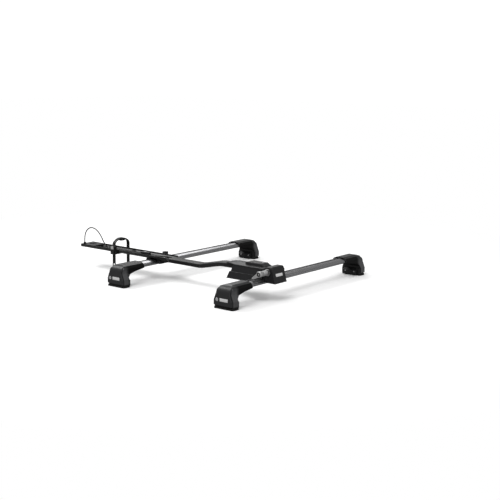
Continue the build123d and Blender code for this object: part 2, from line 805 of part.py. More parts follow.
def cam_lever():
    """Round hub with a ring-shaped outer face, and a flat tapering arm."""
    ball = Pos(*skewer_point(-hub_centre_y)) * Sphere(hub_radius)
    ball &= rod(hub_radius * 2, skewer_point(-hub_centre_y), (0, 1, 0), hub_radius)
    drum = rod(hub_radius, skewer_point(-hub_face_y), (0, 1, 0), hub_face_y - hub_centre_y)
    drum = chamfer(drum.edges().filter_by(GeomType.CIRCLE).sort_by(Axis.Y)[0], barrel_round)
    plane = Plane(origin=skewer_point(-pin_y), x_dir=arm_direction(), z_dir=(0, -1, 0))
    root = hub_radius * arm_root_share
    outline = polygon((root, -arm_root_half), (arm_length, -arm_tip_half), (arm_length, arm_tip_half),
                      (root, arm_root_half))
    arm = Pos(0, 0, -arm_thickness / 2) * extrude(outline, arm_thickness)
    tips = [edge for edge in arm.edges().filter_by(Axis.Z) if edge.center().X > arm_length / 2]
    arm = fillet(tips, arm_tip_half - seat_gap)
    lever = ball + drum + plane * arm
    slot_half = rod_radius + 2 * running_fit
    eye_room = rod_eye_radius + 2 * seat_gap
    slot = plane * block(-eye_room, eye_room, -slot_half, slot_half, -eye_room, eye_room)
    reach = hub_radius + cut_over
    rod_room = rod_radius + seat_gap
    swing = plane * block(-reach, rod_room, -slot_half, slot_half, -reach, rod_room)
    lever -= slot
    lever -= swing
    lever -= lever_pin_rod(running_fit)
    return lever - rod(lever_lock_radius + running_fit, skewer_point(-hub_face_y - cut_over), (0, 1, 0),
                       lever_lock_length + cut_over)


def lever_lock():
    start = -hub_face_y + lock_proud
    length = lever_lock_length - lock_proud - running_fit
    lock = rod(lever_lock_radius, skewer_point(start), (0, 1, 0), length)
    slot = Pos(*skewer_point(start)) * Box(key_slot_length, key_slot_depth, key_slot_width)
    return lock - slot


def adjusting_nut():
    nut = rod(nut_radius, skewer_point(barrel_inner_y), (0, 1, 0), nut_length)
    for i in range(nut_grooves):
        angle = 2 * math.pi * i / nut_grooves
        offset = Vector(nut_radius * math.cos(angle), 0, nut_radius * math.sin(angle))
        start = Vector(*skewer_point(barrel_inner_y + nut_groove_radius * 2)) + offset
        nut -= rod(nut_groove_radius, start, (0, 1, 0), nut_length)
    return nut - rod(rod_radius + running_fit, skewer_point(0), (0, 1, 0), pin_y * 2)


# Rear bracket over the rear bar, with its knob beyond the tray's far edge

bracket_half_length = 52.0
bracket_top_half_length = 46.0
bracket_half = 32.0
bracket_top_half = 28.0
ear_end = 84.0
ear_low_z = 92.0
ear_top_z = 115.0
knob_y = 65.0
knob_radius = 16.0
knob_height = 16.0
knob_bolt_rise = 12.0
knob_lobes = 5
knob_lobe_radius = 5.0
bracket_rivet_x = 40.0
bracket_rivet_spread = 24.0


def rear_place(distance):
    """X of a place counted forwards from the rear bar's middle."""
    return rear_bar_x + distance


def rear_bracket():
    top = tray_under_z
    low = Pos(rear_bar_x, carrier_y, skirt_bottom_z) * Rectangle(2 * bracket_half_length, 2 * bracket_half)
    high = Pos(rear_bar_x, carrier_y, top) * Rectangle(2 * bracket_top_half_length, 2 * bracket_top_half)
    body = loft([low, high])
    body += block(rear_place(-bracket_top_half_length), rear_place(bracket_top_half_length), across(0),
                  across(ear_end), ear_low_z, top)
    body += block(rear_place(-bracket_top_half_length), rear_place(bracket_top_half_length),
                  across(tray_half + seat_gap), across(ear_end), ear_low_z, ear_top_z)
    body -= bar_notch(rear_bar_x, notch_gap)
    body -= rod(t_bolt_radius + running_fit, (rear_bar_x, across(knob_y), bar_mid_z), (0, 0, 1), tray_lip_z)
    for x, y in bracket_rivet_places():
        body -= rod(rivet_radius + running_fit, (x, y, 0), (0, 0, 1), tray_lip_z)
    return body


def bracket_rivet_places():
    x = rear_place(bracket_rivet_x)
    return [(x, across(-bracket_rivet_spread / 2)), (x, across(bracket_rivet_spread / 2))]


def rear_t_bolt():
    return t_bolt(rear_bar_x, across(knob_y), ear_top_z + knob_bolt_rise)


def rear_knob():
    place = Pos(rear_bar_x, across(knob_y), ear_top_z)
    knob = rod(knob_radius - knob_lobe_radius / 2, (0, 0, 0), (0, 0, 1), knob_height)
    for i in range(knob_lobes):
        lobe = rod(knob_lobe_radius, (knob_radius - knob_lobe_radius, 0, 0), (0, 0, 1), knob_height)
        knob += Rot(0, 0, i * 360 / knob_lobes) * lobe
    hole = rod(t_bolt_radius + running_fit, (0, 0, 0), (0, 0, 1), knob_bolt_rise + running_fit)
    return place * (knob - hole)


def bracket_rivets():
    low = tray_under_z - knob_bolt_rise
    high = tray_under_z + tray_wall
    rivets = []
    for x, y in bracket_rivet_places():
        rivets.append(rod(rivet_radius, (x, y, low), (0, 0, 1), high - low)
                      + rod(rivet_head_radius, (x, y, high), (0, 0, 1), rivet_head))
    return rivets


# Wheel strap, its carriage under the tray, and the ratchet buckle

wheel_place = 265.0
strap_x = -half_length + wheel_place
strap_width = 22.0
strap_thickness = 2.6
strap_half = 52.0
strap_crown_half = 24.0
strap_crown_z = 179.0
strap_shoulder_z = 161.0
strap_far_end_z = 38.0
strap_near_end_z = 30.0
strap_round = 20.0
strap_end_bar = 30.0
strap_end_height = 6.0
eyelet_radius = 5.5
eyelet_length = 18.0
carriage_half_length = 17.0
carriage_end = 59.0
carriage_thickness = 7.0
carriage_arm_z = 120.0
carriage_round = 3.0
strap_slot_gap = 0.35
rim_pad_half = 16.0
rim_pad_half_width = 15.0
rim_pad_height = 13.0
rim_pad_under = 9.0
rim_pad_round = 3.0
buckle_half = 16.0
buckle_cheek = 2.5
buckle_height = 30.0
buckle_depth = 13.0
buckle_back = 2.0
buckle_pin_radius = 2.0
buckle_pin_drop = 7.0
buckle_pin_out = 6.5
latch_hub = 4.5
latch_length = 42.0
latch_thickness = 3.0
latch_round = 1.2


def strap_path():
    route = [(strap_half, strap_far_end_z), (strap_half, strap_shoulder_z),
             (strap_crown_half, strap_crown_z), (-strap_crown_half, strap_crown_z),
             (-strap_half, strap_shoulder_z), (-strap_half, strap_near_end_z)]
    points = [(strap_x, across(y), z) for y, z in route]
    return FilletPolyline(*points, radius=strap_round)


def wheel_strap():
    path = strap_path()
    section = Rectangle(strap_width, strap_thickness)
    plane = Plane(origin=path @ 0, x_dir=(1, 0, 0), z_dir=path % 0)
    strap = sweep(plane * section, path=path)
    half_bar = strap_end_bar / 2
    strap += block(strap_x - half_bar, strap_x + half_bar, across(strap_half - strap_thickness),
                   across(strap_half + strap_thickness), strap_far_end_z - strap_end_height, strap_far_end_z)
    low = strap_near_end_z
    eyelet = prism_y(Pos(strap_x, low + eyelet_length / 2 + strap_thickness)
                     * SlotOverall(eyelet_length, eyelet_radius * 2, rotation=90),
                     across(-strap_half - strap_thickness), across(-strap_half + strap_thickness))
    return strap - eyelet


def strap_carriage():
    """Crosspiece under the tray with a slotted block at each end for the strap."""
    top = tray_under_z - seat_gap
    beam = block(strap_x - carriage_half_length, strap_x + carriage_half_length, across(-carriage_end),
                 across(carriage_end), top - carriage_thickness, top)
    ends = []
    for side in (-1, 1):
        y0, y1 = sorted((across(side * (tray_half + seat_gap)), across(side * carriage_end)))
        end = block(strap_x - carriage_half_length, strap_x + carriage_half_length, y0, y1,
                    top - carriage_thickness, carriage_arm_z)
        ends.append(rounded(end, carriage_round, Axis.Z))
    body = beam + ends[0] + ends[1]
    half = strap_width / 2 + strap_slot_gap
    depth = strap_thickness / 2 + strap_slot_gap
    for side in (-1, 1):
        body -= block(strap_x - half, strap_x + half, across(side * strap_half) - depth,
                      across(side * strap_half) + depth, 0, strap_crown_z)
    return body


def rim_pad():
    low = strap_crown_z - strap_thickness / 2 - rim_pad_under
    pad = block(strap_x - rim_pad_half_width, strap_x + rim_pad_half_width, across(-rim_pad_half),
                across(rim_pad_half), low, low + rim_pad_height)
    pad = rounded(pad, rim_pad_round, Axis.X)
    half = strap_width / 2 + strap_slot_gap
    depth = strap_thickness / 2 + strap_slot_gap
    return pad - block(strap_x - half, strap_x + half, across(-strap_half), across(strap_half),
                       strap_crown_z - depth, strap_crown_z + depth)


def buckle_pin_point():
    y = across(-strap_half - strap_thickness / 2 - strap_slot_gap - buckle_back - buckle_pin_out)
    return strap_x - buckle_half, y, carriage_arm_z + buckle_height - buckle_pin_drop


def buckle_base():
    """Frame round the strap's outer side: a back plate and two cheeks, seated on the carriage."""
    inner_y = across(-strap_half - strap_thickness / 2 - strap_slot_gap)
    outer_y = inner_y - buckle_depth
    low = carriage_arm_z
    high = carriage_arm_z + buckle_height
    frame = block(strap_x - buckle_half, strap_x + buckle_half, inner_y - buckle_back, inner_y, low, high)
    for side in (-1, 1):
        x0, x1 = sorted((strap_x + side * buckle_half, strap_x + side * (buckle_half - buckle_cheek)))
        cheek = block(x0, x1, outer_y, inner_y + strap_thickness + 2 * strap_slot_gap, low, high)
        frame += cheek
    front_y = inner_y + strap_thickness + 2 * strap_slot_gap
    frame += block(strap_x - buckle_half, strap_x + buckle_half, front_y, front_y + buckle_back, low, high)
    return frame - rod(buckle_pin_radius + running_fit, buckle_pin_point(), (1, 0, 0), 2 * buckle_half)


def buckle_pin():
    return rod(buckle_pin_radius, buckle_pin_point(), (1, 0, 0), 2 * buckle_half)


def buckle_latch():
    x, y, z = buckle_pin_point()
    half = buckle_half - buckle_cheek - seat_gap
    hub = rod(latch_hub, (strap_x - half, y, z), (1, 0, 0), 2 * half)
    outer_y = y - latch_hub
    plate = block(strap_x - half, strap_x + half, outer_y, outer_y + latch_thickness, z - latch_length, z)
    plate = rounded(plate, latch_round, Axis.Z)
    hole = rod(buckle_pin_radius + running_fit, (strap_x - buckle_half, y, z), (1, 0, 0), 2 * buckle_half)
    return hub + plate - hole


# Lock cable: from the gland in the end cap, over and into the tray, to the lock and its loop.
# Route points are X from the tray's rear tip, Y from the carrier's middle and Z.

cable_radius = 2.75
corner_share = 0.45
gland_x = 12.0
gland_y = -28.0
gland_radius = 6.5
gland_height = 9.5
gland_foot = 6.0
gland_top_z = cap_top_z + gland_height
cable_reach_route = [
    (12.0, -28.0, 133.0), (12.0, -28.0, 166.0), (29.0, -30.0, 200.0), (64.0, -31.0, 222.0),
    (106.0, -30.5, 215.0), (139.0, -29.0, 186.0), (161.0, -28.0, 149.0), (191.0, -27.5, 121.0),
    (232.0, -28.0, 114.2), (284.0, -30.0, 114.4), (336.0, -29.0, 115.0), (372.0, -23.0, 118.0),
    (404.0, -14.0, 121.0), (434.0, -14.0, 121.0),
]
cable_loop_route = [
    (486.0, -7.0, 115.0), (513.0, -7.0, 115.0), (537.0, 5.0, 114.6), (559.0, 21.0, 114.4),
    (582.6, 30.0, 114.3), (607.4, 30.2, 114.3), (625.0, 12.4, 114.3), (625.2, -12.4, 114.3),
    (607.4, -30.0, 114.3), (582.6, -30.4, 114.3), (556.0, -28.0, 114.5), (530.0, -21.0, 115.0),
    (501.0, -21.0, 115.0),
]
lock_x0 = 434.0
lock_size_x = 52.0
lock_y = -14.0
lock_size_y = 30.0
lock_size_z = 21.0
lock_low_z = tray_under_z + tray_wall + seat_gap
lock_round = 5.0
lock_face_radius = 7.0
lock_face_length = 8.0
ferrule_radius = 4.2
ferrule_length = 15.0
ferrule_y = -21.0
ferrule_z = 115.0


def tray_point(x, y, z):
    return (-half_length + x, across(y), z)


def corner_radii(points):
    """Largest tangent arc that the shorter run beside each corner leaves room for."""
    radii = []
    for before, corner, after in zip(points, points[1:], points[2:]):
        first = Vector(*corner) - Vector(*before)
        second = Vector(*after) - Vector(*corner)
        turn = math.radians(first.get_angle(second))
        radii.append(corner_share * min(first.length, second.length) / math.tan(turn / 2))
    return radii


def cable(name, route):
    points = [tray_point(*point) for point in route]
    radii = corner_radii(points)
    path = FilletPolyline(*points, radius=radii)
    plane = Plane(origin=path @ 0, z_dir=path % 0)
    tube = sweep(plane * Circle(cable_radius), path=path)
    share = tube.volume / (math.pi * cable_radius ** 2 * path.length)
    print(name, "radii", [round(radius) for radius in radii], "length", round(path.length),
          "volume share", round(share, 4))
    return tube


def gland_hole():
    start = tray_point(gland_x, gland_y, cap_top_z - gland_foot)
    return rod(gland_radius + running_fit, start, (0, 0, 1), tray_lip_z)


def cable_gland():
    low = cap_top_z - gland_foot + running_fit
    gland = rod(gland_radius, tray_point(gland_x, gland_y, low), (0, 0, 1), gland_top_z - low)
    return chamfer(gland.edges().filter_by(GeomType.CIRCLE).sort_by(Axis.Z)[-1], cable_radius / 2)


def cable_lock_body():
    x0, y0, z0 = tray_point(lock_x0, lock_y - lock_size_y / 2, lock_low_z)
    body = block(x0, x0 + lock_size_x, y0, y0 + lock_size_y, z0, z0 + lock_size_z)
    body = rounded(body, lock_round, Axis.Z)
    centre = tray_point(lock_x0 + lock_size_x / 2, lock_y, lock_low_z + lock_size_z - lock_face_length)
    body -= rod(lock_face_radius + running_fit, centre, (0, 0, 1), 2 * lock_face_length)
    return body


def cable_lock_cylinder():
    top = lock_low_z + lock_size_z + lock_proud
    x, y, z = tray_point(lock_x0 + lock_size_x / 2, lock_y, top)
    low = top - lock_face_length - lock_proud + running_fit
    lock = rod(lock_face_radius, (x, y, low), (0, 0, 1), top - low)
    return lock - Pos(x, y, top) * Box(key_slot_length, key_slot_width, 2 * key_slot_depth)


def cable_ferrule():
    start = tray_point(lock_x0 + lock_size_x, ferrule_y, ferrule_z)
    return rod(ferrule_radius, start, (1, 0, 0), ferrule_length)


def make_carrier():
    save("base_housing", base_housing())
    save("base_saddle_pad", saddle_pad(front_bar_x, casing_half))
    save("front_t_bolts", *front_t_bolts())
    save("front_t_bolt_nuts", *front_nuts())
    save("top_cover", top_cover())
    save("lock_lid", lock_lid())
    save("lock_lid_pin", lid_pin_rod(0))
    save("lock_lid_cylinder", lid_lock())
    save("head_block", head_block())
    save("near_dropout_seat", dropout_seat(-1))
    save("far_dropout_seat", dropout_seat(1))
    save("skewer_rod", skewer_rod())
    save("lever_barrel", lever_barrel())
    save("cam_lever", cam_lever())
    save("cam_lever_pin", lever_pin_rod(0))
    save("cam_lever_lock", lever_lock())
    save("adjusting_nut", adjusting_nut())
    save("frame_tube", frame_tube())
    save("tray_tongue", tray_tongue())
    save("tray_rivets", *tray_rivets(), *bracket_rivets())
    save("wheel_tray", wheel_tray())
    save("tray_end_cap", tray_end_cap())
    save("rear_bracket", rear_bracket())
    save("rear_saddle_pad", saddle_pad(rear_bar_x, bracket_half))
    save("rear_t_bolt", rear_t_bolt())
    save("rear_knob", rear_knob())


def make_strap_and_cable():
    save("strap_carriage", strap_carriage())
    save("wheel_strap", wheel_strap())
    save("rim_pad", rim_pad())
    save("buckle_base", buckle_base())
    save("buckle_pin", buckle_pin())
    save("buckle_latch", buckle_latch())
    save("cable_gland", cable_gland())
    save("lock_cable_reach", cable("reach", cable_reach_route))
    save("lock_cable_loop", cable("loop", cable_loop_route))
    save("cable_lock_body", cable_lock_body())
    save("cable_lock_cylinder", cable_lock_cylinder())
    save("cable_ferrule", cable_ferrule())


os.makedirs("parts", exist_ok=True)
make_bar("front", front_bar_x, front_half_span)
make_bar("rear", rear_bar_x, rear_half_span)
make_feet()
make_carrier()
make_strap_and_cable()
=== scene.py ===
import json
import math
import bmesh
import bpy
from mathutils import Matrix, Vector


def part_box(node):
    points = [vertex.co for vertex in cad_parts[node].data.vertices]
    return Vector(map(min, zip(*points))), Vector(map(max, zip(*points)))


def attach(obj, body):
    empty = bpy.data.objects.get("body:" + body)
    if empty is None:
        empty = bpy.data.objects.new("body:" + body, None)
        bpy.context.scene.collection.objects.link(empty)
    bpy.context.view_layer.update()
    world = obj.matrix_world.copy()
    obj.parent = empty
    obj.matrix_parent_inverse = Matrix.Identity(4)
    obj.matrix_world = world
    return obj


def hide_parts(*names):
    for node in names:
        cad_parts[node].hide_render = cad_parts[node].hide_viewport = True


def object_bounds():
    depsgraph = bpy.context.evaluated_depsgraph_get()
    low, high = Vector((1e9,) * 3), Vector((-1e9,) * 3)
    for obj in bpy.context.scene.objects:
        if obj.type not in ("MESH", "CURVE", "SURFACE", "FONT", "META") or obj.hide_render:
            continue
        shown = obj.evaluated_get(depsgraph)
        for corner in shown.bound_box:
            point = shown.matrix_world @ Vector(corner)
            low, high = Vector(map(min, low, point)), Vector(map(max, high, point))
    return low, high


# Roof mounted bike carrier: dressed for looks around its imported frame. Metres.
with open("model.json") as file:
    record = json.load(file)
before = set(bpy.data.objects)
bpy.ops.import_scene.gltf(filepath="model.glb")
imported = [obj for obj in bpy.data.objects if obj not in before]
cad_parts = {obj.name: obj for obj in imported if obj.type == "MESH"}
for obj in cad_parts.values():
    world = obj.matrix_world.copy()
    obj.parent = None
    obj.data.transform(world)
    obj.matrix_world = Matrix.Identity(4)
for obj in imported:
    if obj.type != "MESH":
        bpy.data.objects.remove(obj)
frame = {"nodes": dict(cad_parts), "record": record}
nodes = frame["nodes"]
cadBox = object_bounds()
print("frame loaded:", len(nodes), "nodes")

feet = [end + "_" + side for end in ("front", "rear") for side in ("near", "far")]


# Camera at the photograph's viewing angle

camera = {
    "place": (3.5625, -4.128, 1.127),
    "yaw": 38.465,  # degrees round the vertical
    "pitch": 10.327,  # looking down
    "roll": 0.691,
    "focalPixels": 1046.6,
    "frameWidth": 500,
    "sensor": 36.0,
    "clip": (0.05, 60.0),
}


def makeCamera():
    data = bpy.data.cameras.new("photoCamera")
    data.sensor_width = camera["sensor"]
    data.lens = camera["focalPixels"] / camera["frameWidth"] * camera["sensor"]
    data.clip_start, data.clip_end = camera["clip"]
    obj = bpy.data.objects.new("photoCamera", data)
    bpy.context.scene.collection.objects.link(obj)
    turn = Matrix.Rotation(math.radians(camera["yaw"]), 4, "Z")
    tilt = Matrix.Rotation(math.radians(90 - camera["pitch"]), 4, "X")
    roll = Matrix.Rotation(math.radians(camera["roll"]), 4, "Z")
    obj.matrix_world = Matrix.Translation(camera["place"]) @ turn @ tilt @ roll
    bpy.context.scene.camera = obj


makeCamera()


# Small mesh helpers

sharpAngle = 40  # degrees from which an edge of a new piece looks sharp


# Turns a bmesh into a piece that rides on a body.
def fresh(name, bm, material, body):
    bmesh.ops.recalc_face_normals(bm, faces=bm.faces)
    mesh = bpy.data.meshes.new(name)
    bm.to_mesh(mesh)
    bm.free()
    obj = bpy.data.objects.new(name, mesh)
    bpy.context.scene.collection.objects.link(obj)
    mesh.materials.append(material)
    mesh.shade_smooth()
    mesh.set_sharp_from_angle(angle=math.radians(sharpAngle))
    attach(obj, body)
    return obj


# Moves what an extrude gave, and returns its new edges.
def pushOut(bm, geometry, way):
    verts = [v for v in geometry if isinstance(v, bmesh.types.BMVert)]
    bmesh.ops.translate(bm, verts=verts, vec=way)
    return [e for e in geometry if isinstance(e, bmesh.types.BMEdge)]


# A box with rounded edges as a bmesh, size and place in metres.
def roundedBox(size, place, radius, turn=None):
    bm = bmesh.new()
    bmesh.ops.create_cube(bm, size=1.0)
    bmesh.ops.scale(bm, vec=size, verts=bm.verts)
    bmesh.ops.bevel(bm, geom=bm.edges[:], offset=radius, segments=3, profile=0.5,
                    affect="EDGES", material=-1, clamp_overlap=True)
    matrix = Matrix.Translation(place) @ (turn or Matrix.Identity(4))
    bmesh.ops.transform(bm, matrix=matrix, verts=bm.verts)
    return bm


# Shader groups that several finishes share

pattern = {
    "bevelSamples": 4,
    "edgeLimits": (0.01, 0.16),  # how far the rounded normal leaves the flat one
    "breakupScale": 90.0,
    "breakupLimits": (0.42, 0.62),
    "pitShare": 0.6,  # of the cells in the grain's height
    "shadeScale": 9.0,
    "glossScale": 60.0,
    "lineLimits": (0.35, 0.65),
    "dustFacing": (0.35, 1.0),
    "dustScale": 22.0,
    "dustLimits": (0.38, 0.72),
}
softEdge = 0.0007  # rounded look of an edge where a finish names no own "soft"
rubbedEdge = 0.0012  # width of its rubbed band where it names no own "edge"


def shaderGroup(name, inputs, outputs):
    group = bpy.data.node_groups.new(name, "ShaderNodeTree")
    for label, kind, value in inputs:
        group.interface.new_socket(label, in_out="INPUT", socket_type=kind).default_value = value
    for label in outputs:
        group.interface.new_socket(label, in_out="OUTPUT", socket_type="NodeSocketFloat")
    return group, group.nodes.new("NodeGroupInput"), group.nodes.new("NodeGroupOutput")


def mathNode(tree, operation, first, second=None, third=None, clamp=False):
    node = tree.nodes.new("ShaderNodeMath")
    node.operation = operation
    node.use_clamp = clamp
    for socket, value in zip(node.inputs, (first, second, third)):
        if isinstance(value, bpy.types.NodeSocket):
            tree.links.new(value, socket)
        elif value is not None:
            socket.default_value = value
    return node.outputs[0]


def noiseNode(tree, vector, scale, detail=3.0, roughness=0.5):
    node = tree.nodes.new("ShaderNodeTexNoise")
    tree.links.new(vector, node.inputs["Vector"])
    if isinstance(scale, bpy.types.NodeSocket):
        tree.links.new(scale, node.inputs["Scale"])
    else:
        node.inputs["Scale"].default_value = scale
    node.inputs["Detail"].default_value = detail
    node.inputs["Roughness"].default_value = roughness
    return node.outputs["Fac"]


# Stretches a value between two limits to 0 and 1.
def spread(tree, value, low, high):
    node = tree.nodes.new("ShaderNodeMapRange")
    tree.links.new(value, node.inputs["Value"])
    node.inputs["From Min"].default_value = low
    node.inputs["From Max"].default_value = high
    return node.outputs["Result"]


# Rubbed edges, and where a finish has its own wide band, a painted highlight along the edges: where the
# rounded normal leaves the flat one, broken up by noise.
def makeEdgeWearAndHighlight():
    inputs = [("Amount", "NodeSocketFloat", 0.5), ("Radius", "NodeSocketFloat", rubbedEdge),
              ("Breakup", "NodeSocketFloat", pattern["breakupScale"])]
    group, given, out = shaderGroup("edgeWearAndHighlight", inputs, ["Mask"])
    bevel = group.nodes.new("ShaderNodeBevel")
    bevel.samples = pattern["bevelSamples"]
    group.links.new(given.outputs["Radius"], bevel.inputs["Radius"])
    geometry = group.nodes.new("ShaderNodeNewGeometry")
    dot = group.nodes.new("ShaderNodeVectorMath")
    dot.operation = "DOT_PRODUCT"
    group.links.new(bevel.outputs["Normal"], dot.inputs[0])
    group.links.new(geometry.outputs["Normal"], dot.inputs[1])
    away = mathNode(group, "SUBTRACT", 1.0, dot.outputs["Value"])
    edge = spread(group, away, *pattern["edgeLimits"])
    coordinates = group.nodes.new("ShaderNodeTexCoord").outputs["Object"]
    noise = noiseNode(group, coordinates, given.outputs["Breakup"], detail=4.0, roughness=0.6)
    rubbed = mathNode(group, "MULTIPLY", edge, spread(group, noise, *pattern["breakupLimits"]))
    mask = mathNode(group, "MULTIPLY", rubbed, given.outputs["Amount"], clamp=True)
    group.links.new(mask, out.inputs["Mask"])
    return group


# Fine pitted grain of moulded plastic, with a slow change of shade.
def makeGrain():
    group, given, out = shaderGroup("mouldedGrain", [("Scale", "NodeSocketFloat", 1400.0)],
                                    ["Height", "Shade", "Gloss"])
    coordinates = group.nodes.new("ShaderNodeTexCoord").outputs["Object"]
    fine = noiseNode(group, coordinates, given.outputs["Scale"], detail=2.0, roughness=0.6)
    cells = group.nodes.new("ShaderNodeTexVoronoi")
    group.links.new(coordinates, cells.inputs["Vector"])
    group.links.new(given.outputs["Scale"], cells.inputs["Scale"])
    height = mathNode(group, "MULTIPLY_ADD", cells.outputs["Distance"], pattern["pitShare"], fine)
    group.links.new(height, out.inputs["Height"])
    slow = noiseNode(group, coordinates, pattern["shadeScale"])
    group.links.new(slow, out.inputs["Shade"])
    middle = noiseNode(group, coordinates, pattern["glossScale"], detail=4.0, roughness=0.6)
    group.links.new(middle, out.inputs["Gloss"])
    return group


# Long fine lines that drawing or brushing leaves along one axis.
def makeDrawn():
    group, given, out = shaderGroup("drawnLines", [("Stretch", "NodeSocketVector", (1.0, 1.0, 1.0))],
                                    ["Height", "Shade"])
    coordinates = group.nodes.new("ShaderNodeTexCoord").outputs["Object"]
    mapping = group.nodes.new("ShaderNodeMapping")
    group.links.new(coordinates, mapping.inputs["Vector"])
    group.links.new(given.outputs["Stretch"], mapping.inputs["Scale"])
    lines = noiseNode(group, mapping.outputs["Vector"], 1.0, detail=4.0, roughness=0.65)
    group.links.new(lines, out.inputs["Height"])
    group.links.new(spread(group, lines, *pattern["lineLimits"]), out.inputs["Shade"])
    return group


# Thin dust on faces that look up, in soft patches.
def makeDust():
    group, given, out = shaderGroup("dustFilm", [("Amount", "NodeSocketFloat", 0.2)], ["Mask"])
    texture = group.nodes.new("ShaderNodeTexCoord")
    split = group.nodes.new("ShaderNodeSeparateXYZ")
    group.links.new(texture.outputs["Normal"], split.inputs["Vector"])
    up = spread(group, split.outputs["Z"], *pattern["dustFacing"])
    noise = noiseNode(group, texture.outputs["Object"], pattern["dustScale"], detail=6.0, roughness=0.7)
    film = mathNode(group, "MULTIPLY", up, spread(group, noise, *pattern["dustLimits"]))
    mask = mathNode(group, "MULTIPLY", film, given.outputs["Amount"], clamp=True)
    group.links.new(mask, out.inputs["Mask"])
    return group


groups = {"wearAndHighlight": makeEdgeWearAndHighlight(), "grain": makeGrain(), "drawn": makeDrawn(), "dust": makeDust()}
